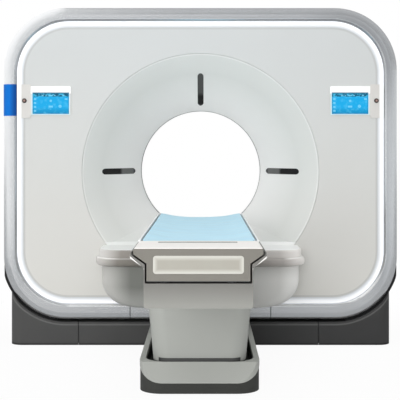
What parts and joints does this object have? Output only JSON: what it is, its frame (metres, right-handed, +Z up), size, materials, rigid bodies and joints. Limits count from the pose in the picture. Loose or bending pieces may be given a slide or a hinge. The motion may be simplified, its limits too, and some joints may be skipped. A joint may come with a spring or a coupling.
{
  "type": "ct scanner",
  "caption": "Wide-bore computed tomography scanner: round-cornered gantry with a flared funnel on a dark base, and a lifting couch whose padded cradle slides through the bore.",
  "frame": {"origin": "on the floor below the isocentre, in the scan plane half way through the gantry's depth", "axes": "+X across the gantry to the viewer's right from the couch side, +Y into the bore from the couch side, +Z up"},
  "size_m": [2.2123, 2.926, 1.89],
  "materials": {
    "frame_silver": "satin metallic paint",
    "light_band": "opal light guide, lit",
    "panel_white": "satin painted moulding",
    "laser_glass": "dark window",
    "clear_ring": "translucent film",
    "cover_grey": "fine-textured painted moulding",
    "bezel_white": "satin moulding",
    "screen": "lit touch screen",
    "button_red": "moulded cap",
    "collar_dark": "dark ring",
    "badge_blue": "plain plate",
    "base_dark": "charcoal texture paint",
    "steel_frame": "primer grey",
    "cast_frame": "machined casting, painted",
    "bearing_steel": "ground",
    "coil": "varnished winding",
    "carbon": "brush block",
    "fan_black": "moulded",
    "cabinet": "powder coat",
    "rotor_paint": "machined and painted",
    "module": "powder coat",
    "column_grey": "satin paint",
    "shroud_grey": "satin paint",
    "machined": "ground",
    "housing_grey": "satin paint",
    "aluminium": "milled",
    "cap_taupe": "satin moulding",
    "cap_panel": "satin moulding",
    "cradle_white": "carbon shell with light skin",
    "pad_blue": "coated upholstery"
  },
  "bodies": {
    "gantry": {"front_frame": "frame_silver", "frame_centre_piece": "frame_silver", "rear_frame": "frame_silver", "light_band": "light_band", "front_panel": "panel_white", "front_funnel": "panel_white", "laser_windows": "laser_glass", "scan_window": "clear_ring", "rear_funnel": "panel_white", "rear_panel": "panel_white", "chin_bowl_right": "panel_white", "chin_bowl_left": "panel_white", "side_cover_right": "cover_grey", "side_cover_left": "cover_grey", "top_cover": "cover_grey", "belly_cover": "cover_grey", "control_bezel_right": "bezel_white", "control_bezel_left": "bezel_white", "screen_right": "screen", "screen_left": "screen", "button_collars": "collar_dark", "badge_plate": "badge_blue", "base_cover_left": "base_dark", "base_cover_centre": "base_dark", "base_cover_right": "base_dark", "base_frame": "steel_frame", "stator_frame": "cast_frame", "bearing_outer_ring": "bearing_steel", "drive_stator": "coil", "brush_block": "carbon", "cooling_fans": "fan_black", "gantry_controller": "cabinet", "power_unit": "cabinet", "couch_base": "base_dark", "base_rim": "column_grey", "inner_shroud": "shroud_grey", "guide_posts": "machined", "lift_cylinder": "machined"},
    "rotor": {"rotor_frame": "rotor_paint", "bearing_inner_ring": "bearing_steel", "slip_ring": "rotor_paint", "xray_tube": "module", "collimator": "module", "detector_arc": "module", "hv_generator": "module", "tube_cooler": "module", "balance_weights": "module"},
    "couch_lift": {"column_shroud": "column_grey", "couch_housing": "housing_grey", "slide_rails": "machined", "guide_sleeves": "aluminium", "lift_rod": "machined", "table_drive": "cabinet"},
    "cradle": {"foot_cap": "cap_taupe", "cap_panel": "cap_panel", "cradle_shell": "cradle_white", "pad": "pad_blue", "carriage": "aluminium"},
    "button_left": {"stop_button_left": "button_red"},
    "button_right": {"stop_button_right": "button_red"}
  },
  "joints": [
    {"name": "rotor_spin", "type": "hinge", "parent": "gantry", "child": "rotor", "pos_m": [0, 0, 0.968], "axis": [0, 1, 0], "continuous": true},
    {"name": "couch_raise", "type": "slide", "parent": "gantry", "child": "couch_lift", "axis": [0, 0, 1], "range_m": [0, 0.25]},
    {"name": "cradle_slide", "type": "slide", "parent": "couch_lift", "child": "cradle", "axis": [0, 1, 0], "range_m": [0, 1.45]},
    {"name": "button_left_press", "type": "slide", "parent": "gantry", "child": "button_left", "axis": [0, 1, 0], "range_m": [0, 0.004], "stiffness_N_per_m": 400},
    {"name": "button_right_press", "type": "slide", "parent": "gantry", "child": "button_right", "axis": [0, 1, 0], "range_m": [0, 0.004], "stiffness_N_per_m": 400}
  ]
}
